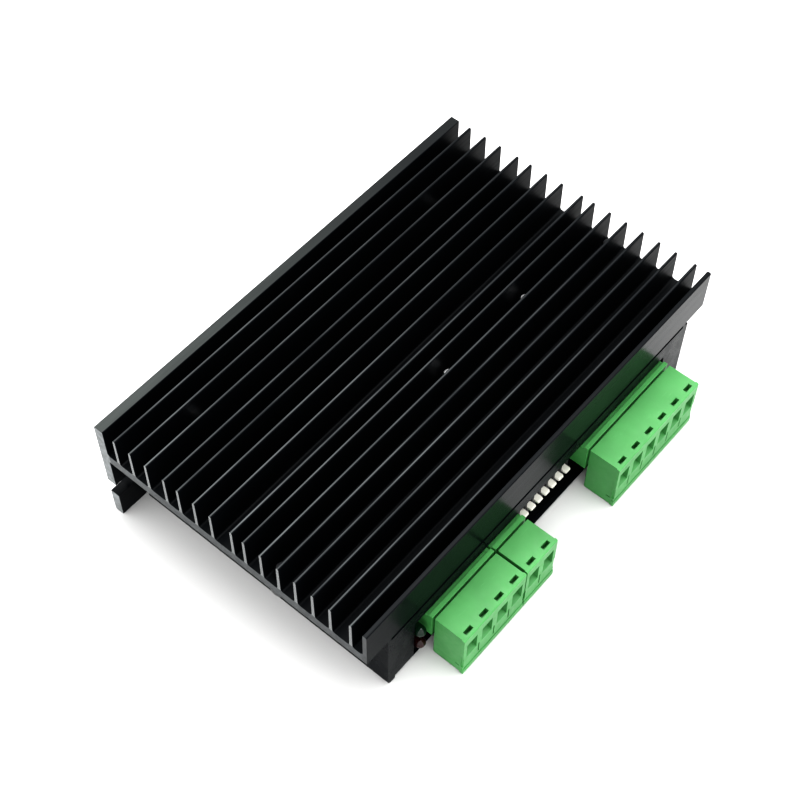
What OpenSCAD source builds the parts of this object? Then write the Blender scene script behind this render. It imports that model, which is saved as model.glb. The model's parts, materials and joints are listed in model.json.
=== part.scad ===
// Stepper driver module: finned heat sink body, folded sheet cover, control board with
// pluggable screw terminals, an eight position slide switch and two status lamps.
// It lies with the fins up and the cover down. X runs from the mounting wall to the plugs,
// Y along the fins and Z up. The origin is the middle of the footprint, at floor level.

/* [Heat sink] */
// Length along the fins, mm
length = 118; // [118:1:122]
// Width from the mounting wall to the last fin, mm
sink_width = 75; // [75:0.1:75.2]
// Height from the cover face to the fin tips, mm
sink_height = 33; // [32:0.5:36]
// Thickness of the mounting wall, mm
wall = 2.5; // [2:0.1:2.5]
// Underside of the base plate, mm
base_bottom = 21.6; // [21.6:0.1:21.6]
// Top of the base plate, mm
base_top = 24.4; // [24.2:0.1:24.8]
// Fin thickness at the tip, mm
fin_tip = 0.7; // [0.6:0.05:0.8]
// Fin thickness at the root, mm
fin_root = 0.85; // [0.8:0.05:1.1]

/* [Mounting slots] */
// Width of the open slots in the mounting wall, mm
slot_width = 4.5; // [4.3:0.1:5]
// Distance from the module's end to the slot's centre, mm
slot_inset = 3; // [2.5:0.5:3.5]
// Height of the slot's centre line, mm
slot_height = 9.95; // [9.5:0.05:10.5]

/* [Cover] */
// Sheet thickness, mm
sheet = 1; // [0.8:0.1:1]
// Distance from the module's end to the cover's end wall, mm
cover_inset = 6.8; // [6.5:0.1:7]
// Top edge of the cover's connector side, mm
cover_side_top = 19.7; // [19.5:0.1:20.4]

/* [Switch] */
// Travel of each slide lever, mm
lever_travel = 1.6; // [1:0.1:1.6]

/* [Preview] */
// Which sub-part to show

/* [Hidden] */
$fn = 48;
// overlap between joined solids, and how far a cutting body runs past a face
eps = 0.01;
cut = 1;
pitch = 5.08;
total_width = 85.1;

// fins: position of the first, regular pitch, and the ones set over to widen a gap
first_fin = 5.85;
fin_pitch = 4.592;
fin_count = 15;
fin_shift = [0, 0, 0, 0.64, 0, 0, 0, 1.2, 0, 0, 0, 0, 0, 0, 0.7];
fin_height = sink_height - base_top;
last_fin = 1.1;
root_fillet = 0.6;
wall_edge = 0.15;
tip_edge = 0.2;
gap_2 = first_fin + 1.5 * fin_pitch;
gap_9 = first_fin + 8.5 * fin_pitch;
gap_10 = first_fin + 9.5 * fin_pitch;

// M3 screws, with the clearance they need in a tapped and in a plain hole
m3_shaft = 1.45;
m3_tapped = 1.5;
m3_clear = 1.7;
m3_head_r = 2.75;
m3_head_h = 1.8;
m3_recess = 3;
m3_recess_width = 0.6;
m3_recess_depth = 1;
m3_point = 0.3;
m3_point_r = 1.25;

// cover
cover_x0 = wall + 0.2;
cover_x1 = sink_width - 0.3;
cover_y0 = cover_inset;
far_inset = 0.6;
cover_y1 = length - cover_inset + far_inset;
cover_bottom = 0.2;
bend = 1.2;
flange_gap = 0.6;
side_lap = 1;
flange_notch = 0.2;
wall_lip_top = 5;
sheet_margin = 3;
window_y0 = 15.2;
window_y1 = 104.3;
window_top = 15.5;
window_r = 0.8;

// board
board_bottom = 14.3;
board_top = 15.9;
board_x0 = 4.5;
board_x1 = 73.3;
board_gap = 0.6;
board_y0 = cover_y0 + sheet + board_gap;
board_y1 = cover_y1 - sheet - board_gap;
board_screws_at = [[gap_9, 62.4], [gap_9, 89.8], [gap_2, 20], [gap_2, 100]];
long_tip = 26.6;
short_tip = 24.2;
cover_screw_x = gap_10 + 0.2;
cover_screw_inset = 3.1;
cover_screws_at = [[cover_screw_x, cover_screw_inset],
    [cover_screw_x, length - cover_screw_inset]];
cover_screw_tip = 27;

// plugs and headers: centre of each row of poles, and how many poles
row_4 = 29.13;
row_2 = 45.05;
row_6 = 88.17;
plug_back = 76.95;
plug_front = 84.95;
plug_bottom = 0.25;
plug_top = 15;
plug_edge = 0.3;
plug_overhang = 0.17;
lip_top = 1.95;
groove_top = 2.2;
groove_depth = 0.45;
rim_back = 84.15;
side_step = 0.18;
header_back = 65;
header_front = 76.35;
header_rim = 75.3;
header_low = 7.2;
header_wall = 1;
header_floor = 2;
header_roof = 0.9;
header_overhang = 0.13;
tongue_gap = 0.1;
tongue_back = header_back + header_floor + 0.4;
pin_z = 10.8;
pin_half = 0.5;
pin_x = 63.3;
pin_hole_r = 0.8;
pin_reach = 75.5;
pin_stub = 0.8;
running = 0.05;

// inside one pole of a plug: screw, cage, chamber, wire opening and spring contact
clamp_x = 80.1;
cage_half_x = 1.8;
cage_half_y = 1.95;
cage_low = 5.6;
cage_high = 12.4;
cage_wall = 0.5;
cage_floor = 1;
chamber_low = 2.2;
chamber_high = 12.6;
wire_half = 1.7;
wire_z0 = 6.6;
wire_z1 = 12;
sill_x = 82.1;
sill_z = 7.7;
head_r = 1.9;
head_low = 0.6;
head_high = 2.1;
head_slot = 0.6;
head_slot_depth = 0.7;
shaft_length = 4.8;
probe_x0 = 83.15;
probe_x1 = 84.1;
probe_half = 1.15;
probe_depth = 2.3;
rib_slot = 0.4;
rib_slot_depth = 0.6;
rib_slot_z = [3.1, 7];
corner_slot = 0.25;
side_slot_x = [82.85, 83.85];
side_slot_z = [2.5, 2.8];
side_slot_depth = 0.3;
contact_half = 0.9;
contact_room = 1;
leaf = 0.4;
leaf_back = 69.2;
plate_low = 7.2;
plate_x0 = 77;
plate_x1 = 81.9;

// switch
switch_y = 60.85;
switch_len = 21;
switch_x0 = 66.5;
switch_x1 = 72.85;
switch_low = 4.9;
lever_pitch = 2.54;
lever_half = 0.85;
lever_z0 = 7.2;
lever_z1 = 7.85;
lever_tip = 74.1;
lever_foot = [70.1, 71.4];
lever_foot_rise = 0.5;
lever_tip_edge = 0.1;
well_x = 70;
well_z0 = lever_z0 - lever_foot_rise - 0.1;
well_z1 = lever_z1 + lever_foot_rise + lever_travel + 0.1;

// lamps
lamp_y = 16.8;
lamp_x = 74.8;
lamp_r = 1.45;
lamp_length = 5;
green_z = 10.4;
red_z = 5.2;

// colours
ANODISED = [0.06, 0.06, 0.07];
PAINT = [0.05, 0.05, 0.055];
GREEN = [0.33, 0.72, 0.36];
STEEL = [0.72, 0.73, 0.74];
BRASS = [0.78, 0.62, 0.32];
BLACK = [0.07, 0.07, 0.08];
IVORY = [0.93, 0.92, 0.87];

module placed() {
    translate([-total_width / 2, -length / 2, 0]) children();
}

// a flat outline in X and Z, pulled along Y from y0 to y1
module along_y(y0, y1) {
    translate([0, y1, 0]) rotate([90, 0, 0]) linear_extrude(height = y1 - y0) children();
}

// a flat outline in Y and Z, pulled along X from x0 to x1
module along_x(x0, x1) {
    translate([x0, 0, 0]) rotate([90, 0, 90]) linear_extrude(height = x1 - x0) children();
}

module block(x0, x1, y0, y1, z0, z1) {
    translate([x0, y0, z0]) cube([x1 - x0, y1 - y0, z1 - z0]);
}

module post(x, y, z0, z1, r) {
    translate([x, y, z0]) cylinder(h = z1 - z0, r = r);
}

function fin_x(i) = first_fin + i * fin_pitch + fin_shift[i];
function pole_y(centre, poles, i) = centre + (i - (poles - 1) / 2) * pitch;
function lever_y(i) = switch_y + (i - 3.5) * lever_pitch;

// ---- heat sink ----

// outline of one fin, from the right foot over the tip to the left foot
function fin_path() = let (r = fin_root / 2, t = fin_tip / 2, f = root_fillet, h = fin_height)
    [[r + f, 0], [r + f * 0.36, f * 0.24], [r + f * 0.08, f * 0.7], [r, f * 1.2],
    [t, h - tip_edge], [t - tip_edge, h], [-t + tip_edge, h], [-t, h - tip_edge],
    [-r, f * 1.2], [-r - f * 0.08, f * 0.7], [-r - f * 0.36, f * 0.24], [-r - f, 0]];

// the whole extruded section: wall, base plate and fins
module sink_outline() {
    edge = wall_edge;
    tip = tip_edge;
    x1 = sink_width;
    x0 = sink_width - last_fin;
    polygon(concat([[0, edge], [edge, 0], [wall - edge, 0], [wall, edge], [wall, base_bottom],
        [x1, base_bottom], [x1, sink_height - tip], [x1 - tip, sink_height],
        [x0 + tip, sink_height], [x0, sink_height - tip], [x0, base_top + root_fillet],
        [x0 - root_fillet, base_top]],
        [for (i = [fin_count - 1 : -1 : 0]) for (p = fin_path())
            [fin_x(i) + p[0], base_top + p[1]]],
        [[wall + root_fillet, base_top], [wall, base_top + root_fillet],
        [wall, sink_height - edge], [wall - edge, sink_height], [edge, sink_height],
        [0, sink_height - edge]]));
}

module end_slot() {
    rotate([0, 90, 0]) translate([-slot_height, 0, -cut]) {
        cylinder(h = wall + 2 * cut, r = slot_width / 2);
        translate([-slot_width / 2, -slot_inset - cut, 0])
            cube([slot_width, slot_inset + cut, wall + 2 * cut]);
    }
}

module heatsink() color(ANODISED) placed() {
    difference() {
        along_y(0, length) sink_outline();
        translate([0, slot_inset, 0]) end_slot();
        translate([0, length - slot_inset, 0]) mirror([0, 1, 0]) end_slot();
        for (p = concat(board_screws_at, cover_screws_at))
            post(p[0], p[1], base_bottom - cut, sink_height + cut, m3_tapped);
    }
}

// ---- cover and its blank front sheet ----

function bend_point(cx, cz, r, a) = [cx + r * cos(a), cz + r * sin(a)];

// bottom, connector side and a low lip along the mounting wall, as one bent strip
module cover_outline() {
    r = bend;
    inner = bend - sheet;
    x0 = cover_x0;
    x1 = cover_x1;
    z0 = cover_bottom;
    lip = wall_lip_top;
    polygon(concat([[x0, lip]],
        [for (a = [180 : 22.5 : 270]) bend_point(x0 + r, z0 + r, r, a)],
        [for (a = [270 : 22.5 : 360]) bend_point(x1 - r, z0 + r, r, a)],
        [[x1, cover_side_top], [x1 - sheet, cover_side_top]],
        [for (a = [360 : -45 : 270]) bend_point(x1 - r, z0 + r, inner, a)],
        [for (a = [270 : -45 : 180]) bend_point(x0 + r, z0 + r, inner, a)],
        [[x0 + sheet, lip]]));
}

// end wall with the flange that lies under the base plate, standing at Y = 0
module end_wall_outline() {
    r = bend;
    inner = bend - sheet;
    z0 = cover_bottom;
    reach = cover_inset - flange_gap;
    polygon(concat([[sheet + r, z0 + sheet]],
        [for (a = [270 : -45 : 180]) bend_point(r, z0 + r, inner, a)],
        [[sheet, base_bottom], [-reach, base_bottom], [-reach, base_bottom - sheet],
        [0, base_bottom - sheet]],
        [for (a = [180 : 22.5 : 270]) bend_point(r, z0 + r, r, a)],
        [[sheet + r, z0]]));
}

// opening in the connector side, round at its two upper corners
module window_cut() {
    x0 = cover_x1 - sheet - cut;
    x1 = cover_x1 + cut;
    z0 = cover_bottom + bend;
    r = window_r;
    for (y = [window_y0 + r, window_y1 - r])
        translate([x0, y, window_top - r]) rotate([0, 90, 0]) cylinder(h = x1 - x0, r = r);
    block(x0, x1, window_y0, window_y1, z0, window_top - r);
    block(x0, x1, window_y0 + r, window_y1 - r, z0, window_top);
}

module cover() color(PAINT) placed() {
    difference() {
        union() {
            along_y(cover_y0 + bend, cover_y1 - bend) cover_outline();
            block(cover_x1 - sheet, cover_x1, cover_y0, cover_y0 + bend + eps,
                cover_bottom + bend, cover_side_top);
            block(cover_x1 - sheet, cover_x1, cover_y1 - bend - eps, cover_y1 + side_lap,
                cover_bottom + bend, cover_side_top);
            translate([0, cover_y0, 0]) along_x(cover_x0 + bend, cover_x1) end_wall_outline();
            translate([0, cover_y1, 0]) mirror([0, 1, 0])
                along_x(cover_x0 + bend, cover_x1) end_wall_outline();
        }
        window_cut();
        block(cover_x1 - sheet, cover_x1 + cut, -cut, cover_y0 - eps, 0, sink_height);
        block(cover_x1 - sheet, cover_x1 + cut, cover_y1 + eps, length + cut,
            cover_side_top + flange_notch, sink_height);
        for (p = cover_screws_at)
            post(p[0], p[1], base_bottom - sheet - cut, base_bottom + cut, m3_clear);
    }
}

module front_sheet() color([0.55, 0.57, 0.6]) placed() {
    block(cover_x0 + sheet_margin, cover_x1 - sheet_margin, cover_y0 + sheet_margin,
        cover_y1 - sheet_margin, 0, cover_bottom);
}

// ---- board ----

module pin_holes(centre, poles) {
    for (i = [0 : poles - 1])
        post(pin_x, pole_y(centre, poles, i), board_bottom - cut, board_top + cut, pin_hole_r);
}

module pcb() color([0.05, 0.16, 0.1]) placed() {
    difference() {
        block(board_x0, board_x1, board_y0, board_y1, board_bottom, board_top);
        pin_holes(row_4, 4);
        pin_holes(row_2, 2);
        pin_holes(row_6, 6);
        for (p = board_screws_at)
            post(p[0], p[1], board_bottom - cut, board_top + cut, m3_clear);
    }
}

module standoffs() color(STEEL) placed() {
    for (p = board_screws_at)
        difference() {
            post(p[0], p[1], board_top, base_bottom, m3_head_r);
            post(p[0], p[1], board_top - cut, base_bottom + cut, m3_clear);
        }
}

// pan head screw standing on its head, with a cross recess in the head
module pan_screw(x, y, seat, tip) {
    shaft_top = tip - m3_point;
    head_bottom = seat - m3_head_h;
    difference() {
        union() {
            post(x, y, head_bottom, seat, m3_head_r);
            post(x, y, seat - eps, shaft_top, m3_shaft);
            translate([x, y, shaft_top - eps])
                cylinder(h = m3_point, r1 = m3_shaft, r2 = m3_point_r);
        }
        for (a = [0, 90])
            translate([x, y, head_bottom - cut]) rotate([0, 0, a])
                translate([-m3_recess / 2, -m3_recess_width / 2, 0])
                    cube([m3_recess, m3_recess_width, m3_recess_depth + cut]);
    }
}

module board_screws() color(STEEL) placed() {
    for (i = [0 : 3])
        pan_screw(board_screws_at[i][0], board_screws_at[i][1], board_bottom,
            i < 2 ? long_tip : short_tip);
}

module cover_screws() color(STEEL) placed() {
    for (p = cover_screws_at) pan_screw(p[0], p[1], base_bottom - sheet, cover_screw_tip);
}

// ---- headers, one shrouded row of pins each ----

module header(centre, poles) {
    half = poles * pitch / 2 + header_overhang;
    inside = half - header_wall;
    hole = pin_half + running;
    difference() {
        union() {
            block(header_back, header_front, centre - half, centre + half, header_low,
                board_bottom);
            block(header_rim, header_front, centre - half, centre + half, header_low, plug_top);
        }
        block(header_back + header_floor, header_front + cut, centre - inside,
            centre + inside, header_low + header_wall, board_bottom - header_roof);
        for (i = [0 : poles - 1]) {
            y = pole_y(centre, poles, i);
            block(header_back - cut, header_back + header_floor + cut, y - hole, y + hole,
                pin_z - hole, pin_z + hole);
        }
    }
}

module header_pins(centre, poles) {
    for (i = [0 : poles - 1]) {
        y = pole_y(centre, poles, i);
        block(pin_x - pin_half, pin_reach, y - pin_half, y + pin_half,
            pin_z - pin_half, pin_z + pin_half);
        block(pin_x - pin_half, pin_x + pin_half, y - pin_half, y + pin_half,
            pin_z, board_top + pin_stub);
    }
}

module header_4() color(GREEN) placed() header(row_4, 4);
module header_2() color(GREEN) placed() header(row_2, 2);
module header_6() color(GREEN) placed() header(row_6, 6);
module header_pins_4() color(STEEL) placed() header_pins(row_4, 4);
module header_pins_2() color(STEEL) placed() header_pins(row_2, 2);
module header_pins_6() color(STEEL) placed() header_pins(row_6, 6);

// ---- plugs ----

// outline of the clamp block seen from its end, in X and Z, with the lip along the bottom front
module plug_outline() {
    polygon([[plug_back, plug_bottom + plug_edge], [plug_back + plug_edge, plug_bottom],
        [total_width, plug_bottom], [total_width, lip_top],
        [plug_front - groove_depth, lip_top], [plug_front - groove_depth, groove_top],
        [plug_front, groove_top], [plug_front, plug_top - plug_edge],
        [plug_front - plug_edge, plug_top], [plug_back, plug_top]]);
}

// what the pole at Y = 0 takes out of the housing: chamber, screw bore, wire opening,
// probe hole in the top, and room for the contact and for its foot
module pole_cut() {
    x = cage_half_x + running;
    y = cage_half_y + running;
    block(clamp_x - x, clamp_x + x, -y, y, chamber_low, chamber_high);
    post(clamp_x, 0, plug_bottom - cut, chamber_low + eps, head_r + 2 * running);
    along_y(-wire_half, wire_half) polygon([[clamp_x, sill_z], [sill_x, sill_z],
        [plug_front, wire_z0], [plug_front + cut, wire_z0], [plug_front + cut, wire_z1],
        [clamp_x, wire_z1]]);
    block(probe_x0, probe_x1, -probe_half, probe_half, plug_top - probe_depth, plug_top + cut);
    block(header_back, clamp_x, -contact_room, contact_room,
        pin_z - pin_half - leaf - 0.25, pin_z + pin_half + leaf + 0.2);
    block(plate_x0 - leaf, clamp_x, -contact_room, contact_room, plate_low - 0.1, pin_z);
}

module plug(centre, poles) {
    outer = poles * pitch / 2 + plug_overhang;
    half = outer - side_step;
    tongue = poles * pitch / 2 + header_overhang - header_wall - tongue_gap;
    difference() {
        union() {
            intersection() {
                along_y(centre - outer, centre + outer) plug_outline();
                union() {
                    block(plug_back - cut, rim_back, centre - half, centre + half, 0, plug_top);
                    block(rim_back - eps, total_width + cut, centre - outer, centre + outer,
                        0, plug_top);
                }
            }
            block(tongue_back, plug_back + eps, centre - tongue, centre + tongue,
                header_low + header_wall + tongue_gap, board_bottom - header_roof - tongue_gap);
        }
        for (i = [0 : poles - 1]) translate([0, pole_y(centre, poles, i), 0]) pole_cut();
        for (i = [1 : poles - 1]) {
            y = pole_y(centre, poles, i) - pitch / 2;
            block(plug_front - rib_slot_depth, plug_front + cut, y - rib_slot / 2,
                y + rib_slot / 2, rib_slot_z[0], rib_slot_z[1]);
        }
        for (s = [-1, 1]) {
            corner = centre + s * outer;
            side = centre + s * half;
            block(plug_front - rib_slot_depth, plug_front + cut, corner - corner_slot,
                corner + corner_slot, rib_slot_z[0], rib_slot_z[1]);
            block(side_slot_x[0], side_slot_x[1], side - side_slot_depth,
                side + side_slot_depth, side_slot_z[0], side_slot_z[1]);
        }
    }
}

// spring contact of one pole: two leaves on the pin, and the plate inside the cage
module contact() {
    upper = pin_z + pin_half + running;
    lower = pin_z - pin_half - running;
    fork = plate_x0 + 0.5;
    along_y(-contact_half, contact_half) polygon([[plate_x1, plate_low],
        [plate_x1, plate_low + leaf], [fork + leaf, plate_low + leaf],
        [fork + leaf, upper + leaf], [leaf_back, upper + leaf], [leaf_back, upper],
        [fork, upper], [fork, lower], [leaf_back, lower], [leaf_back, lower - leaf],
        [plate_x0, lower - leaf], [plate_x0, plate_low]]);
}

module contacts(centre, poles) {
    for (i = [0 : poles - 1]) translate([0, pole_y(centre, poles, i), 0]) contact();
}

module plug_4() color(GREEN) placed() plug(row_4, 4);
module plug_2() color(GREEN) placed() plug(row_2, 2);
module plug_6() color(GREEN) placed() plug(row_6, 6);
module contacts_4() color(BRASS) placed() contacts(row_4, 4);
module contacts_2() color(BRASS) placed() contacts(row_2, 2);
module contacts_6() color(BRASS) placed() contacts(row_6, 6);

// slotted clamp screw, head down, that turns in place and draws its cage along
module clamp_screw(y) {
    difference() {
        union() {
            post(clamp_x, y, head_low, head_high, head_r);
            post(clamp_x, y, head_high - eps, head_high + shaft_length, m3_shaft);
        }
        block(clamp_x - head_r - cut, clamp_x + head_r + cut, y - head_slot / 2,
            y + head_slot / 2, head_low - cut, head_low + head_slot_depth);
    }
}

module clamp_cage(y) {
    x = cage_half_x;
    inner = cage_half_y - cage_wall;
    translate([clamp_x, y, 0]) difference() {
        block(-x, x, -cage_half_y, cage_half_y, cage_low, cage_high);
        block(-x - cut, x + cut, -inner, inner, cage_low + cage_floor, cage_high - cage_wall);
        post(0, 0, cage_low - cut, cage_low + cage_floor + cut / 2, m3_tapped);
    }
}

function clamp_y(k) = k <= 4 ? pole_y(row_4, 4, k - 1)
    : k <= 6 ? pole_y(row_2, 2, k - 5) : pole_y(row_6, 6, k - 7);

module screw_at(k) color(STEEL) placed() clamp_screw(clamp_y(k));
module cage_at(k) color(STEEL) placed() clamp_cage(clamp_y(k));

module clamp_screw_1() screw_at(1);
module clamp_screw_2() screw_at(2);
module clamp_screw_3() screw_at(3);
module clamp_screw_4() screw_at(4);
module clamp_screw_5() screw_at(5);
module clamp_screw_6() screw_at(6);
module clamp_screw_7() screw_at(7);
module clamp_screw_8() screw_at(8);
module clamp_screw_9() screw_at(9);
module clamp_screw_10() screw_at(10);
module clamp_screw_11() screw_at(11);
module clamp_screw_12() screw_at(12);
module clamp_cage_1() cage_at(1);
module clamp_cage_2() cage_at(2);
module clamp_cage_3() cage_at(3);
module clamp_cage_4() cage_at(4);
module clamp_cage_5() cage_at(5);
module clamp_cage_6() cage_at(6);
module clamp_cage_7() cage_at(7);
module clamp_cage_8() cage_at(8);
module clamp_cage_9() cage_at(9);
module clamp_cage_10() cage_at(10);
module clamp_cage_11() cage_at(11);
module clamp_cage_12() cage_at(12);

// ---- slide switch ----

module switch_body() color(BLACK) placed() {
    well_half = lever_half + running;
    difference() {
        block(switch_x0, switch_x1, switch_y - switch_len / 2, switch_y + switch_len / 2,
            switch_low, board_bottom);
        for (i = [0 : 7])
            block(well_x, switch_x1 + cut, lever_y(i) - well_half, lever_y(i) + well_half,
                well_z0, well_z1);
    }
}

// slide lever: a foot inside the switch, a neck, and a slightly slimmer tip
module lever(i) {
    y0 = lever_y(i) - lever_half;
    y1 = lever_y(i) + lever_half;
    e = lever_tip_edge;
    neck_end = lever_tip - 2 * e;
    block(lever_foot[0], lever_foot[1], y0, y1, lever_z0 - lever_foot_rise,
        lever_z1 + lever_foot_rise);
    block(lever_foot[1] - eps, neck_end, y0, y1, lever_z0, lever_z1);
    block(neck_end - eps, lever_tip, y0 + e, y1 - e, lever_z0 + e, lever_z1 - e);
}

module lever_at(i) color(IVORY) placed() lever(i);
module lever_1() lever_at(0);
module lever_2() lever_at(1);
module lever_3() lever_at(2);
module lever_4() lever_at(3);
module lever_5() lever_at(4);
module lever_6() lever_at(5);
module lever_7() lever_at(6);
module lever_8() lever_at(7);

// ---- lamps ----

module lamp(z) {
    translate([lamp_x - lamp_length, lamp_y, z]) rotate([0, 90, 0])
        cylinder(h = lamp_length, r = lamp_r);
    translate([lamp_x, lamp_y, z]) sphere(r = lamp_r);
}

module lamp_holder() color(BLACK) placed() {
    back = lamp_x - lamp_length - 1;
    bore = lamp_r + 0.02;
    difference() {
        block(back - 0.7, back + 3.9, lamp_y - lamp_r - 0.6, lamp_y + lamp_r + 0.1,
            red_z - lamp_r - 0.9, board_bottom);
        for (z = [green_z, red_z])
            translate([back, lamp_y, z]) rotate([0, 90, 0]) cylinder(h = lamp_length, r = bore);
    }
}

module lamp_green() color([0.25, 0.75, 0.35]) placed() lamp(green_z);
module lamp_red() color([0.7, 0.2, 0.18]) placed() lamp(red_z);

// ---- parts on the board ----

power_rows = [27, 60];
power_y = [24, 40, 56, 72];
body_half = [5, 4.5];
body_bottom = 16.9;
tab_length = 5;
tab_thick = 1.3;
leg_half = 0.4;
leg_z = [18.4, 18.9];
leg_reach = 2.5;
pad_z = base_bottom - 0.3;
pad_margin = [0.5, 1.5];

// one power transistor, tab towards the base plate
module transistor(x, y) {
    back = x - body_half[0];
    front = x + body_half[0];
    block(back, front, y - body_half[1], y + body_half[1], body_bottom, pad_z);
    block(front - eps, front + tab_length, y - body_half[1], y + body_half[1],
        pad_z - tab_thick, pad_z);
    for (s = [-1, 0, 1]) {
        y0 = y + s * lever_pitch - leg_half;
        block(back - leg_reach, back + eps, y0, y0 + 2 * leg_half, leg_z[0], leg_z[1]);
        block(back - leg_reach, back - leg_reach + 0.5, y0, y0 + 2 * leg_half,
            board_top, leg_z[1]);
    }
}

module power_transistors() color(BLACK) placed() {
    for (x = power_rows) for (y = power_y) transistor(x, y);
}

module thermal_pads() color([0.75, 0.76, 0.78]) placed() {
    for (x = power_rows)
        block(x - body_half[0] - pad_margin[0], x + body_half[0] + tab_length + pad_margin[0],
            power_y[0] - body_half[1] - pad_margin[1], power_y[3] + body_half[1] + pad_margin[1],
            pad_z, base_bottom);
}

// three reservoir capacitors hanging from the board, each with its crimped groove
module capacitors() color([0.12, 0.12, 0.16]) placed() {
    can_x = 20;
    can_r = 6.25;
    can_low = 1.7;
    groove_z = board_bottom - 2.4;
    groove_h = 0.8;
    for (y = [34, 48, 62]) difference() {
        post(can_x, y, can_low, board_bottom, can_r);
        difference() {
            post(can_x, y, groove_z, groove_z + groove_h, can_r + cut);
            post(can_x, y, groove_z - cut, groove_z + groove_h + cut, can_r - 0.35);
        }
    }
}

// a part standing on the underside of the board: its corner, its size and its height
module hung(x, y, width, depth, height) {
    block(x, x + width, y, y + depth, board_bottom - height, board_bottom);
}

module chips() color(BLACK) placed() {
    hung(32, 68, 12, 12, 1.5);
    for (y = [26, 38, 50]) hung(44, y, 6, 5, 1.7);
    hung(30, 22, 12, 12, 5);
}

module optocouplers() color([0.9, 0.9, 0.86]) placed() {
    for (y = [76, 84, 92, 100]) hung(50, y, 6.5, 4.6, 3.6);
}

heatsink();
cover();
front_sheet();
pcb();
header_4();
header_2();
header_6();
header_pins_4();
header_pins_2();
header_pins_6();
plug_4();
plug_2();
plug_6();
contacts_4();
contacts_2();
contacts_6();
clamp_screw_1();
clamp_screw_2();
clamp_screw_3();
clamp_screw_4();
clamp_screw_5();
clamp_screw_6();
clamp_screw_7();
clamp_screw_8();
clamp_screw_9();
clamp_screw_10();
clamp_screw_11();
clamp_screw_12();
clamp_cage_1();
clamp_cage_2();
clamp_cage_3();
clamp_cage_4();
clamp_cage_5();
clamp_cage_6();
clamp_cage_7();
clamp_cage_8();
clamp_cage_9();
clamp_cage_10();
clamp_cage_11();
clamp_cage_12();
switch_body();
lever_1();
lever_2();
lever_3();
lever_4();
lever_5();
lever_6();
lever_7();
lever_8();
lamp_holder();
lamp_green();
lamp_red();
power_transistors();
thermal_pads();
standoffs();
board_screws();
cover_screws();
capacitors();
chips();
optocouplers();
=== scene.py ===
"""Looks of the stepper driver module: materials, moulded edges, threads, lamps, light and camera."""
import json
import math

import bmesh
import bpy
from mathutils import Matrix, Quaternion, Vector


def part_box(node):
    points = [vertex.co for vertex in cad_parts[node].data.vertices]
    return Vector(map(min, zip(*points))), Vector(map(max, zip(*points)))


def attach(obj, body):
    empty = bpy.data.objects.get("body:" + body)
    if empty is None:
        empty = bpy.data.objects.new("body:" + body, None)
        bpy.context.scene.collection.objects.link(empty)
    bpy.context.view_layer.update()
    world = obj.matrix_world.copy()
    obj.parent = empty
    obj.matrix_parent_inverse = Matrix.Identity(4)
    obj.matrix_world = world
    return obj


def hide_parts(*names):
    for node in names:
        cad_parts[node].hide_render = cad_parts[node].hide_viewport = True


MM = 0.001
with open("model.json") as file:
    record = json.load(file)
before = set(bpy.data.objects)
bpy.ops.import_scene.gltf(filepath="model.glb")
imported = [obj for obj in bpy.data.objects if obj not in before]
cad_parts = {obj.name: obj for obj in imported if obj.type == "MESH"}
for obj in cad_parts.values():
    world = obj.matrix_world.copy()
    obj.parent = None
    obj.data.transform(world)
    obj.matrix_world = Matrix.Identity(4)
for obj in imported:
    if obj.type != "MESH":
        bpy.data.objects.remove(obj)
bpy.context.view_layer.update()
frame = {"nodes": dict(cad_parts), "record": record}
NODES = frame["nodes"]
BODY_OF = {node: body for body, nodes in frame["record"]["behaviour"]["bodies"].items() for node in nodes}

# camera: where it stands in metres, the way it looks, and its lens on a 36 mm sensor
CAMERA_PLACE = (0.12077, -0.15715, 0.30454)
CAMERA_AZIMUTH = 39.481
CAMERA_ELEVATION = 55.389
CAMERA_ROLL = 0.80
CAMERA_LENS = 70.44

# light: place in metres, width and depth, watts
KEY_LIGHT = ((-0.15, 0.28, 1.2), (1.0, 1.0), 8)
SIDE_LIGHT = ((0.95, 0.25, 0.6), (0.5, 0.5), 1)
LIGHT_AIM = (0, 0, 0.01)
WORLD_STRENGTH = 1.2
EXPOSURE = 0.7
FLOOR_HALF = 6
FLOOR_GREY = (0.53, 0.53, 0.527)

# landmarks on the heat sink
SINK_LOW, SINK_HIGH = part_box("heatsink")
WALL_FACE = SINK_LOW[0] + 2.5 * MM
LAST_FIN_FACE = SINK_HIGH[0]
LAST_FIN_BACK = SINK_HIGH[0] - 1.4 * MM
SAWN_END = SINK_HIGH[1]
BASE_TOP = SINK_LOW[2] + 24.4 * MM
FIN_TOP = SINK_HIGH[2]


# ---- camera, floor and light ----

def add_camera():
    a, e = math.radians(CAMERA_AZIMUTH), math.radians(CAMERA_ELEVATION)
    back = Vector((math.sin(a) * math.cos(e), -math.cos(a) * math.cos(e), math.sin(e)))
    data = bpy.data.cameras.new("camera")
    data.lens = CAMERA_LENS
    data.sensor_width = 36
    data.clip_start = 0.01
    data.clip_end = 50
    camera = bpy.data.objects.new("camera", data)
    bpy.context.scene.collection.objects.link(camera)
    camera.location = CAMERA_PLACE
    camera.rotation_mode = "QUATERNION"
    roll = Quaternion(back, math.radians(CAMERA_ROLL))
    camera.rotation_quaternion = roll @ (-back).to_track_quat("-Z", "Y")
    bpy.context.scene.camera = camera


def add_object(name, mesh):
    made = bpy.data.objects.new(name, mesh)
    bpy.context.scene.collection.objects.link(made)
    return made


def add_area(name, place, size, power):
    light = bpy.data.lights.new(name, "AREA")
    light.shape = "RECTANGLE"
    light.size, light.size_y = size
    light.energy = power
    made = add_object(name, light)
    made.location = place
    made.rotation_mode = "QUATERNION"
    made.rotation_quaternion = (Vector(LIGHT_AIM) - Vector(place)).to_track_quat("-Z", "Y")


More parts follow.
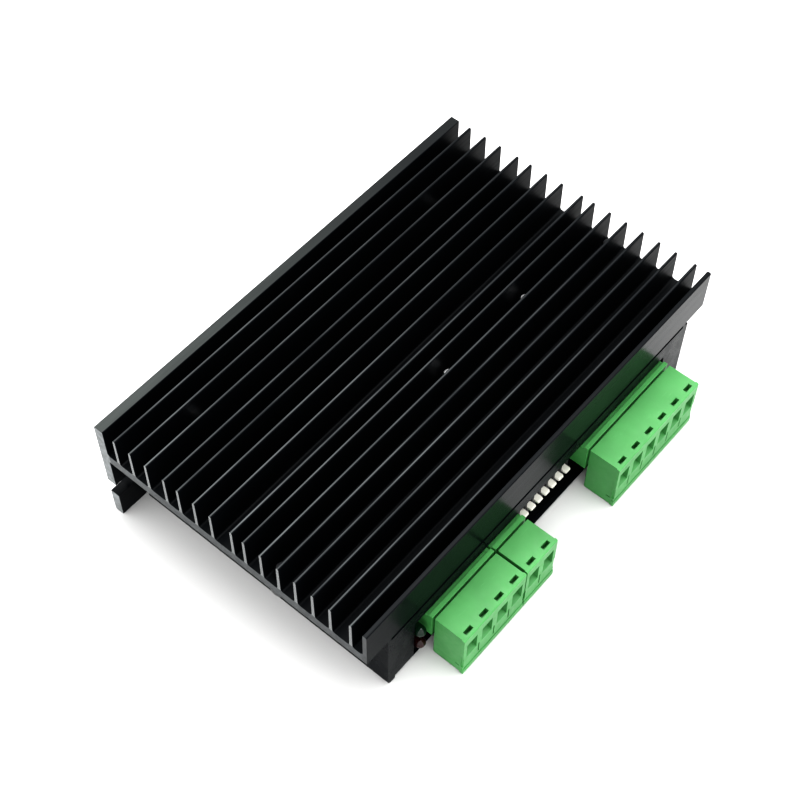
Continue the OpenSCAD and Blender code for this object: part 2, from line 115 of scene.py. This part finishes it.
def add_studio():
    mesh = bpy.data.meshes.new("floor")
    half = FLOOR_HALF
    corners = [(-half, -half, 0), (half, -half, 0), (half, half, 0), (-half, half, 0)]
    mesh.from_pydata(corners, [], [(0, 1, 2, 3)])
    floor = add_object("floor", mesh)
    paint = Shader("floor_paint", FLOOR_GREY, 0.7)
    paint.bump(paint.noise((30, 30, 30), 3), 0.02, 0.0005)
    mesh.materials.append(paint.material)
    world = bpy.data.worlds.new("studio")
    world.use_nodes = True
    sky = world.node_tree.nodes["Background"]
    sky.inputs["Color"].default_value = (1, 1, 1, 1)
    sky.inputs["Strength"].default_value = WORLD_STRENGTH
    bpy.context.scene.world = world
    add_area("key", *KEY_LIGHT)
    add_area("side", *SIDE_LIGHT)
    settings = bpy.context.scene.view_settings
    settings.view_transform = "Standard"
    settings.look = "High Contrast"
    settings.exposure = EXPOSURE


# ---- shader building ----

class Shader:
    """A Principled material and the few nodes that its colour, roughness and bump need."""

    def __init__(self, name, color, rough, metallic=0.0, **inputs):
        self.material = bpy.data.materials.new(name)
        self.material.use_nodes = True
        self.tree = self.material.node_tree
        self.bsdf = self.tree.nodes["Principled BSDF"]
        self.bsdf.inputs["Base Color"].default_value = (*color, 1)
        self.bsdf.inputs["Roughness"].default_value = rough
        self.bsdf.inputs["Metallic"].default_value = metallic
        for key, value in inputs.items():
            self.bsdf.inputs[key.replace("_", " ")].default_value = value
        self.coordinates = self.node("ShaderNodeTexCoord")
        self.last_bump = None

    def node(self, kind, **settings):
        made = self.tree.nodes.new(kind)
        for key, value in settings.items():
            setattr(made, key, value)
        return made

    def put(self, socket, value):
        if isinstance(value, bpy.types.NodeSocket):
            self.tree.links.new(value, socket)
        elif isinstance(value, (tuple, list)) and len(value) == 3 and socket.type == "RGBA":
            socket.default_value = (*value, 1)
        else:
            socket.default_value = value

    def place(self, scale):
        """The point in metres, times a scale for each axis."""
        mapping = self.node("ShaderNodeMapping")
        self.put(mapping.inputs["Vector"], self.coordinates.outputs["Object"])
        mapping.inputs["Scale"].default_value = scale
        return mapping.outputs["Vector"]

    def noise(self, scale, detail=4.0, rough=0.55):
        made = self.node("ShaderNodeTexNoise")
        self.put(made.inputs["Vector"], self.place(scale))
        made.inputs["Scale"].default_value = 1
        made.inputs["Detail"].default_value = detail
        made.inputs["Roughness"].default_value = rough
        return made.outputs["Fac"]

    def math(self, operation, a, b=0.0):
        made = self.node("ShaderNodeMath", operation=operation)
        self.put(made.inputs[0], a)
        self.put(made.inputs[1], b)
        return made.outputs[0]

    def span(self, value, low, high, to_low=0.0, to_high=1.0):
        made = self.node("ShaderNodeMapRange")
        for socket, given in zip(made.inputs, (value, low, high, to_low, to_high)):
            self.put(socket, given)
        return made.outputs["Result"]

    def part(self, source, index):
        """One component of the object-space point or normal."""
        made = self.node("ShaderNodeSeparateXYZ")
        self.put(made.inputs[0], self.coordinates.outputs[source])
        return made.outputs[index]

    def mix(self, factor, a, b):
        made = self.node("ShaderNodeMix", data_type="RGBA")
        self.put(made.inputs["Factor"], factor)
        self.put(made.inputs[6], a)
        self.put(made.inputs[7], b)
        return made.outputs[2]

    def color(self, value):
        self.put(self.bsdf.inputs["Base Color"], value)

    def rough(self, value):
        self.put(self.bsdf.inputs["Roughness"], value)

    def bump(self, height, strength, distance):
        made = self.node("ShaderNodeBump")
        made.inputs["Strength"].default_value = strength
        made.inputs["Distance"].default_value = distance
        self.put(made.inputs["Height"], height)
        if self.last_bump is not None:
            self.put(made.inputs["Normal"], self.last_bump)
        self.last_bump = made.outputs["Normal"]
        self.put(self.bsdf.inputs["Normal"], self.last_bump)


# ---- materials ----

def fin_tip_wear_and_highlight(s):
    """How light the fins' tips and the wall's top are painted: lighter for rubbed-off dye and as a painted
    highlight of the top light, fading towards the far end as a painted light falloff.
    """
    up = s.span(s.part("Normal", 2), 0.8, 0.95)
    high = s.span(s.part("Object", 2), FIN_TOP - 0.8 * MM, FIN_TOP - 0.4 * MM)
    # painted light falloff: the tips' lightening fades from the near end to the far end
    painted_falloff = s.span(s.part("Object", 1), -58 * MM, 45 * MM, 1.0, 0.15)
    return s.math("MULTIPLY", s.math("MULTIPLY", up, high), painted_falloff)


def sawn_metal(s, past_wall, mottle):
    """Colour of the sawn ends: dull wall and base, and bright burrs on the fins."""
    shade = s.span(mottle, 0.3, 0.7)
    dull = s.mix(past_wall, s.mix(shade, (0.12, 0.128, 0.13), (0.25, 0.265, 0.27)),
                 s.mix(shade, (0.045, 0.049, 0.051), (0.09, 0.097, 0.10)))
    wander = s.math("MULTIPLY", s.noise((400, 400, 400), 2), 6.0)
    teeth = s.math("SINE", s.math("ADD", s.math("MULTIPLY", s.part("Object", 2), 9500.0), wander))
    burr = s.mix(s.span(teeth, -0.6, 0.5), (0.06, 0.065, 0.068), (0.33, 0.34, 0.34))
    past_base = s.span(s.part("Object", 2), BASE_TOP - 0.1 * MM, BASE_TOP + 0.5 * MM)
    return s.mix(s.math("MULTIPLY", past_base, past_wall), dull, burr)


def black_anodised():
    """Dyed extrusion with fine draw lines along Y, fin tips lighter for wear and a painted highlight, sawn
    ends, and a smoother outer face with a painted sheen.
    """
    s = Shader("black_anodised", (0.002, 0.003, 0.004), 0.45)
    lines = s.noise((2600, 5, 2600), 3)
    face = s.mix(s.noise((60, 25, 60), 4), (0.0012, 0.0018, 0.0026), (0.003, 0.004, 0.0052))
    past_wall = s.span(s.part("Object", 0), WALL_FACE + 0.15 * MM, WALL_FACE + 0.45 * MM)
    not_last = s.span(s.part("Object", 0), LAST_FIN_BACK - 0.25 * MM, LAST_FIN_BACK + 0.25 * MM, 1.0, 0.10)
    rubbed = s.noise((900, 40, 900), 5)
    # painted highlight: tips and wall top lighter, partly rubbed dye and partly the top light painted in
    worn_and_lit = s.mix(past_wall, s.mix(rubbed, (0.026, 0.029, 0.028), (0.056, 0.062, 0.060)),
                 s.mix(s.span(rubbed, 0.3, 0.7), (0.012, 0.014, 0.015), (0.095, 0.102, 0.104)))
    body = s.mix(s.math("MULTIPLY", fin_tip_wear_and_highlight(s), not_last), face, worn_and_lit)
    end_face = s.span(s.math("ABSOLUTE", s.part("Normal", 1)), 0.85, 0.95)
    at_end = s.span(s.math("ABSOLUTE", s.part("Object", 1)), SAWN_END - 0.4 * MM, SAWN_END - 0.2 * MM)
    sawn = s.math("MULTIPLY", end_face, at_end)
    mottle = s.noise((700, 700, 700), 5, 0.65)
    bare = s.mix(not_last, (0.05, 0.053, 0.055), sawn_metal(s, past_wall, mottle))
    s.color(s.mix(sawn, body, bare))
    s.put(s.bsdf.inputs["Metallic"], s.math("MULTIPLY", sawn, 0.75))
    at_face = s.span(s.part("Object", 0), LAST_FIN_FACE - 0.15 * MM, LAST_FIN_FACE - 0.05 * MM)
    outer = s.math("MULTIPLY", at_face, s.span(s.part("Normal", 0), 0.9, 0.97))
    s.rough(s.mix(outer, s.span(lines, 0.3, 0.7, 0.38, 0.5), s.span(lines, 0.3, 0.7, 0.18, 0.28)))
    # painted sheen: the outer face reflects more towards the far end
    painted_sheen = s.span(s.part("Object", 1), -55 * MM, 50 * MM, 0.018, 0.115)
    s.put(s.bsdf.inputs["Specular IOR Level"], s.span(outer, 0, 1, 0.08, painted_sheen))
    s.bump(lines, 0.05, 0.00003)
    saw_marks = s.noise((500, 10, 5200), 3)
    s.bump(s.math("MULTIPLY", s.math("ADD", saw_marks, mottle), sawn), 0.5, 0.00006)
    return s.material


def black_paint():
    """Satin powder coat with its fine orange peel, and a painted sheen that grows towards the far end."""
    s = Shader("black_paint", (0.003, 0.004, 0.005), 0.38)
    peel = s.noise((1500, 1500, 1500), 2)
    s.color(s.mix(s.noise((120, 120, 120), 4), (0.002, 0.003, 0.0035), (0.005, 0.006, 0.0075)))
    s.rough(s.span(s.noise((300, 300, 300), 3), 0.3, 0.7, 0.22, 0.34))
    # painted sheen: the coat reflects more towards the far end
    s.put(s.bsdf.inputs["Specular IOR Level"], s.span(s.part("Object", 1), -55 * MM, 50 * MM, 0.022, 0.085))
    s.bump(peel, 0.07, 0.00005)
    return s.material


def green_plastic():
    """Moulded terminal green, a little cloudy, with a fine spark-eroded grain."""
    s = Shader("green_plastic", (0.06, 0.25, 0.07), 0.42, 0.0, Specular_IOR_Level=0.35)
    cloud = s.noise((90, 90, 90), 5)
    base = s.mix(s.span(cloud, 0.3, 0.7), (0.044, 0.185, 0.052), (0.064, 0.245, 0.074))
    scuff = s.span(s.noise((1700, 260, 700), 6, 0.75), 0.60, 0.74, 0.0, 0.5)
    s.color(s.mix(scuff, base, (0.11, 0.32, 0.12)))
    s.rough(s.span(s.noise((500, 500, 500), 3), 0.3, 0.7, 0.38, 0.52))
    s.bump(s.noise((5200, 5200, 5200), 2), 0.10, 0.00003)
    s.bsdf.inputs["Subsurface Weight"].default_value = 0.12
    s.bsdf.inputs["Subsurface Radius"].default_value = (0.3, 1.0, 0.3)
    s.bsdf.inputs["Subsurface Scale"].default_value = 0.0006
    return s.material


def plain_plastic(name, dark, light, rough):
    s = Shader(name, light, rough, 0.0)
    s.color(s.mix(s.noise((200, 200, 200), 4), dark, light))
    s.rough(s.span(s.noise((700, 700, 700), 3), 0.3, 0.7, rough - 0.06, rough + 0.08))
    s.bump(s.noise((3000, 3000, 3000), 2), 0.12, 0.00003)
    return s.material


def metal(name, dark, light, rough):
    s = Shader(name, light, rough, 1.0)
    scale = (900, 900, 900)
    s.color(s.mix(s.noise((300, 300, 300), 5), dark, light))
    s.rough(s.span(s.noise(scale, 4), 0.3, 0.7, rough - 0.08, rough + 0.12))
    s.bump(s.noise(scale, 3), 0.08, 0.00002)
    return s.material


def lens(name, dark, light):
    """Tinted epoxy, part clear and a little uneven."""
    s = Shader(name, light, 0.12, 0.0, IOR=1.5, Specular_IOR_Level=0.25, Transmission_Weight=0.3)
    s.color(s.mix(s.noise((400, 400, 400), 3), dark, light))
    s.rough(s.span(s.noise((900, 900, 900), 3), 0.3, 0.7, 0.08, 0.2))
    s.bump(s.noise((700, 700, 700), 2), 0.05, 0.00003)
    return s.material


def board():
    """Solder mask over faint copper tracks."""
    s = Shader("board", (0.01, 0.05, 0.025), 0.3, 0.0)
    bricks = s.node("ShaderNodeTexBrick")
    s.put(bricks.inputs["Vector"], s.place((140, 140, 140)))
    bricks.inputs["Color1"].default_value = (0.010, 0.060, 0.030, 1)
    bricks.inputs["Color2"].default_value = (0.006, 0.045, 0.022, 1)
    bricks.inputs["Mortar"].default_value = (0.018, 0.095, 0.045, 1)
    bricks.inputs["Scale"].default_value = 1.6
    bricks.inputs["Mortar Size"].default_value = 0.03
    s.color(bricks.outputs["Color"])
    s.bump(bricks.outputs["Fac"], 0.15, 0.00003)
    s.rough(s.span(s.noise((400, 400, 400), 3), 0.3, 0.7, 0.25, 0.4))
    return s.material


def make_materials():
    return {
        "black_anodised": black_anodised(),
        "black_paint": black_paint(),
        "label_film": plain_plastic("label_film", (0.26, 0.28, 0.31), (0.31, 0.33, 0.36), 0.5),
        "board": board(),
        "green_plastic": green_plastic(),
        "tinned_pin": metal("tinned_pin", (0.24, 0.24, 0.23), (0.38, 0.38, 0.37), 0.3),
        "contact_brass": metal("contact_brass", (0.24, 0.16, 0.06), (0.38, 0.27, 0.11), 0.3),
        "screw_steel": metal("screw_steel", (0.46, 0.465, 0.47), (0.68, 0.685, 0.69), 0.28),
        "blackened_steel": metal("blackened_steel", (0.02, 0.021, 0.022), (0.05, 0.051, 0.053), 0.34),
        "cage_steel": metal("cage_steel", (0.12, 0.125, 0.13), (0.24, 0.245, 0.25), 0.35),
        "black_plastic": plain_plastic("black_plastic", (0.008, 0.008, 0.009), (0.016, 0.016, 0.018), 0.5),
        "ivory_plastic": plain_plastic("ivory_plastic", (0.62, 0.61, 0.55), (0.72, 0.71, 0.65), 0.4),
        "green_lens": lens("green_lens", (0.002, 0.012, 0.006), (0.005, 0.028, 0.013)),
        "red_lens": lens("red_lens", (0.014, 0.003, 0.003), (0.032, 0.006, 0.006)),
        "chip_resin": plain_plastic("chip_resin", (0.010, 0.010, 0.011), (0.022, 0.022, 0.024), 0.6),
        "thermal_pad": plain_plastic("thermal_pad", (0.34, 0.36, 0.38), (0.42, 0.44, 0.46), 0.8),
        "capacitor_sleeve": plain_plastic(
            "capacitor_sleeve", (0.008, 0.008, 0.02), (0.014, 0.014, 0.03), 0.25),
        "white_resin": plain_plastic("white_resin", (0.70, 0.70, 0.66), (0.80, 0.80, 0.76), 0.5),
    }


# ---- CAD nodes kept as they are: material, and edges broken as the real ones are ----

# an edge sharper than this many degrees is broken by so many millimetres
SHARP = 35
EDGE = {"heatsink": 0.10, "cover": 0.12, "plug": 0.09, "header": 0.08, "lever": 0.06,
        "switch_body": 0.1, "lamp_holder": 0.1, "clamp_cage": 0.06}


def edge_of(node):
    for start, width in EDGE.items():
        if node == start or (node.startswith(start + "_") and not node.startswith("header_pins")):
            return width * MM
    return None


def dress(node, material):
    made = NODES[node]
    made.data.materials.clear()
    made.data.materials.append(material)
    weld = made.modifiers.new("weld", "WELD")
    weld.merge_threshold = 1e-6
    width = edge_of(node)
    if width is None:
        return
    bevel = made.modifiers.new("edge", "BEVEL")
    bevel.width = width
    bevel.segments = 2
    bevel.limit_method = "ANGLE"
    bevel.angle_limit = math.radians(SHARP)


def dress_all(materials):
    for row in frame["record"]["subparts"]:
        dress(row["node"], materials[row["material_slot"]])


# ---- round pieces turned and threaded from their CAD sizes ----

M3_PITCH = 0.5 * MM
TURN_STEPS = 32
# one turn of thread: how far along the pitch, and how deep below the crest
THREAD_FORM = ((0.0, 0.0), (0.14, 0.0), (0.50, 1.0), (0.66, 1.0))
THREAD_DEPTH = 0.26 * MM
# radius and height of each head, and radius over the thread's crests
PAN_HEAD = (2.75 * MM, 1.8 * MM)
PAN_CREST = 1.45 * MM
CLAMP_HEAD = (1.9 * MM, 1.5 * MM)
CLAMP_CREST = 1.4 * MM
SCREW_POINT = 0.3 * MM


def on_circle(r, step, z, steps=TURN_STEPS):
    a = 2 * math.pi * step / steps
    return Vector((r * math.cos(a), r * math.sin(a), z))


def lathe(bm, profile, steps=TURN_STEPS):
    """Turns (radius, height) pairs round Z into a closed solid. The first and last radius may be 0."""
    rings = []
    for r, z in profile:
        count = 1 if r == 0 else steps
        rings.append([bm.verts.new(on_circle(r, i, z, steps)) for i in range(count)])
    for low, high in zip(rings, rings[1:]):
        for i in range(steps):
            j = (i + 1) % steps
            ring = [low[i % len(low)], low[j % len(low)], high[j % len(high)], high[i % len(high)]]
            corners = list(dict.fromkeys(ring))
            if len(corners) > 2:
                bm.faces.new(corners)
    for ring, flip in ((rings[0], True), (rings[-1], False)):
        if len(ring) > 1:
            bm.faces.new(ring[::-1] if flip else ring)


def threaded(bm, r, z0, z1):
    """A threaded rod of crest radius r between two heights, run out flat at both ends."""
    forms = len(THREAD_FORM)
    rows = forms * (math.ceil((z1 - z0) / M3_PITCH) + 2)
    root = r - THREAD_DEPTH
    grid = []
    for row in range(rows):
        painted_falloff, depth = THREAD_FORM[row % forms]
        ring = []
        for i in range(TURN_STEPS):
            z = z0 + M3_PITCH * (row // forms - 1 + painted_falloff + i / TURN_STEPS)
            inside = z0 < z < z1
            radius = r - depth * THREAD_DEPTH if inside else root
            ring.append(bm.verts.new(on_circle(radius, i, min(max(z, z0), z1))))
        grid.append(ring)
    for row in range(rows - forms - 1):
        for i in range(TURN_STEPS):
            last = i == TURN_STEPS - 1
            k, j = (row + forms, 0) if last else (row, i + 1)
            bm.faces.new((grid[row][i], grid[k][j], grid[k + 1][j], grid[row + 1][i]))
    bmesh.ops.remove_doubles(bm, verts=bm.verts, dist=1e-7)
    bmesh.ops.dissolve_degenerate(bm, edges=bm.edges, dist=1e-7)
    bmesh.ops.delete(bm, geom=[v for v in bm.verts if not v.link_faces], context="VERTS")
    bmesh.ops.holes_fill(bm, edges=[e for e in bm.edges if e.is_boundary], sides=0)


def mesh_of(name, build, *given):
    bm = bmesh.new()
    build(bm, *given)
    bmesh.ops.recalc_face_normals(bm, faces=bm.faces)
    mesh = bpy.data.meshes.new(name)
    bm.to_mesh(mesh)
    bm.free()
    return mesh


def prism(name, outline, depth):
    """A cutting body: an outline in X and Y, as deep below Z = 0 as above it."""
    def build(bm):
        low = [bm.verts.new((x, y, -depth)) for x, y in outline]
        high = [bm.verts.new((x, y, depth)) for x, y in outline]
        bm.faces.new(low[::-1])
        bm.faces.new(high)
        for i in range(len(outline)):
            j = (i + 1) % len(outline)
            bm.faces.new((low[i], low[j], high[j], high[i]))
    return add_object(name, mesh_of(name, build))


def cross_recess():
    a, w = 1.5 * MM, 0.3 * MM
    quarter = [(a, -w), (a, w), (w, w)]
    outline = []
    for i in range(4):
        outline += quarter
        quarter = [(-y, x) for x, y in quarter]
    return prism("recess", outline, 1 * MM)


def slot_recess():
    a, w = 2.5 * MM, 0.3 * MM
    return prism("slot", [(a, -w), (a, w), (-a, w), (-a, -w)], 0.7 * MM)


def cut_from(target, cutter):
    """Takes the cutter's shape out of target for good, and closes any hole that this leaves."""
    modifier = target.modifiers.new("cut", "BOOLEAN")
    modifier.object = cutter
    modifier.solver = "EXACT"
    bpy.context.view_layer.update()
    mesh = bpy.data.meshes.new_from_object(target.evaluated_get(bpy.context.evaluated_depsgraph_get()))
    target.modifiers.clear()
    target.data = mesh
    bpy.data.objects.remove(cutter)
    bm = bmesh.new()
    bm.from_mesh(mesh)
    bmesh.ops.remove_doubles(bm, verts=bm.verts, dist=2e-7)
    bmesh.ops.holes_fill(bm, edges=[e for e in bm.edges if e.is_boundary], sides=0)
    bmesh.ops.recalc_face_normals(bm, faces=bm.faces)
    bm.to_mesh(mesh)
    bm.free()


def smooth(made):
    """Smooth shading, but for sharp edges."""
    for face in made.data.polygons:
        face.use_smooth = True
    made.data.set_sharp_from_angle(angle=math.radians(SHARP))


def append(bm, mesh, place=(0, 0, 0)):
    """Adds a mesh to bm, moved to a place."""
    before = len(bm.verts)
    bm.from_mesh(mesh)
    bm.verts.ensure_lookup_table()
    bmesh.ops.translate(bm, vec=place, verts=bm.verts[before:])


def screw_mesh(name, head_size, shaft_r, length, cutter):
    """A rounded head standing on Z = 0 with its recess, a threaded shaft and its point."""
    head_r, head_h = head_size
    point = SCREW_POINT
    edge = 0.28 * head_h
    rounding = [(head_r - 1.6 * edge, 0), (head_r - 0.7 * edge, 0.12 * edge),
                (head_r - 0.2 * edge, 0.45 * edge), (head_r, edge)]
    underside = [(head_r, head_h - 0.05 * MM), (head_r - 0.05 * MM, head_h), (0, head_h)]
    head = add_object(name, mesh_of(name, lathe, [(0, 0)] + rounding + underside))
    cut_from(head, cutter)
    root = shaft_r - THREAD_DEPTH
    neck = length - point - 0.05 * MM
    bm = bmesh.new()
    append(bm, head.data)
    append(bm, mesh_of(name, threaded, shaft_r, head_h - 0.1 * MM, length - point))
    append(bm, mesh_of(name, lathe, [(0, neck), (root, neck), (root, length - 0.3 * point),
                                     (root - 0.3 * point, length), (0, length)]))
    bpy.data.objects.remove(head)
    mesh = bpy.data.meshes.new(name)
    bm.to_mesh(mesh)
    bm.free()
    return mesh


def add_screws(name, meshes, places, material, node):
    """Screws at their places, joined into one piece that stands for the CAD node."""
    bm = bmesh.new()
    for mesh, place in zip(meshes, places):
        append(bm, mesh, place)
    joined = bpy.data.meshes.new(name)
    bm.to_mesh(joined)
    bm.free()
    joined.materials.clear()
    joined.materials.append(material)
    made = add_object(name, joined)
    smooth(made)
    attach(made, BODY_OF[node])
    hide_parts(node)


def islands(node):
    """The (lowest, highest) corners of each separate solid in a CAD node."""
    mesh = NODES[node].data
    group = list(range(len(mesh.vertices)))

    def find(i):
        while group[i] != i:
            group[i] = group[group[i]]
            i = group[i]
        return i

    merged = {}
    for vertex in mesh.vertices:
        key = tuple(round(c, 6) for c in vertex.co)
        group[find(vertex.index)] = find(merged.setdefault(key, vertex.index))
    for edge in mesh.edges:
        group[find(edge.vertices[0])] = find(edge.vertices[1])
    boxes = {}
    for vertex in mesh.vertices:
        low, high = boxes.setdefault(find(vertex.index), (Vector(vertex.co), Vector(vertex.co)))
        for i in range(3):
            low[i] = min(low[i], vertex.co[i])
            high[i] = max(high[i], vertex.co[i])
    return sorted(boxes.values(), key=lambda b: tuple(b[0]))


def foot_of(low, high):
    return ((low[0] + high[0]) / 2, (low[1] + high[1]) / 2, low[2])


def add_case_screws(materials):
    """The bright board screws and the blackened cover screws, by the length each really has."""
    for node, finish in (("board_screws", "screw_steel"), ("cover_screws", "blackened_steel")):
        boxes = islands(node)
        meshes = []
        for low, high in boxes:
            meshes.append(screw_mesh("pan_screw", PAN_HEAD, PAN_CREST, high[2] - low[2], cross_recess()))
        add_screws(node + "_threaded", meshes, [foot_of(*box) for box in boxes], materials[finish], node)


def add_clamp_screws(materials):
    """Twelve slotted clamp screws, all from the one mesh."""
    low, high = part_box("clamp_screw_1")
    mesh = screw_mesh("clamp_screw", CLAMP_HEAD, CLAMP_CREST, high[2] - low[2], slot_recess())
    for k in range(1, 13):
        node = "clamp_screw_%d" % k
        add_screws(node + "_threaded", [mesh], [foot_of(*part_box(node))], materials["screw_steel"], node)


def lens_shape(bm, r, length):
    """A lamp body along Z: collar, plain barrel, dome."""
    collar = [(0, 0), (r - 0.1 * MM, 0), (r, 0.1 * MM), (r, 0.8 * MM), (r - 0.12 * MM, 0.9 * MM)]
    barrel = r - 0.12 * MM
    dome = [(barrel * math.cos(a), length - barrel + barrel * math.sin(a))
            for a in (math.radians(10 * i) for i in range(0, 9))]
    lathe(bm, collar + dome + [(0, length)], 48)


def die_cup(bm, r, z):
    """The metal cup inside the lamp."""
    foot = [(0, z), (r, z), (r, z + 0.5 * MM)]
    rim = [(r + 0.15 * MM, z + 1.0 * MM), (r + 0.05 * MM, z + 1.0 * MM)]
    lathe(bm, foot + rim + [(0.5 * r, z + 0.6 * MM), (0, z + 0.6 * MM)], 24)


def add_lamps(materials):
    """A domed lens over a small metal cup, for each lamp."""
    for node, lens_slot in (("lamp_green", "green_lens"), ("lamp_red", "red_lens")):
        low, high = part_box(node)
        r = (high[1] - low[1]) / 2
        turn = Matrix.Rotation(math.radians(90), 4, "Y")
        place = Matrix.Translation(Vector((low[0], (low[1] + high[1]) / 2, (low[2] + high[2]) / 2))) @ turn
        for name, mesh, slot_name in (
                (node + "_lens", mesh_of("lens", lens_shape, r, high[0] - low[0]), lens_slot),
                (node + "_cup", mesh_of("cup", die_cup, 0.45 * MM, 2.6 * MM), "tinned_pin")):
            mesh.transform(place)
            mesh.materials.append(materials[slot_name])
            made = add_object(name, mesh)
            smooth(made)
            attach(made, BODY_OF[node])
            if name.endswith("_lens"):
                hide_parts(node)


add_camera()
add_studio()
MATERIALS = make_materials()
dress_all(MATERIALS)
add_case_screws(MATERIALS)
add_clamp_screws(MATERIALS)
add_lamps(MATERIALS)
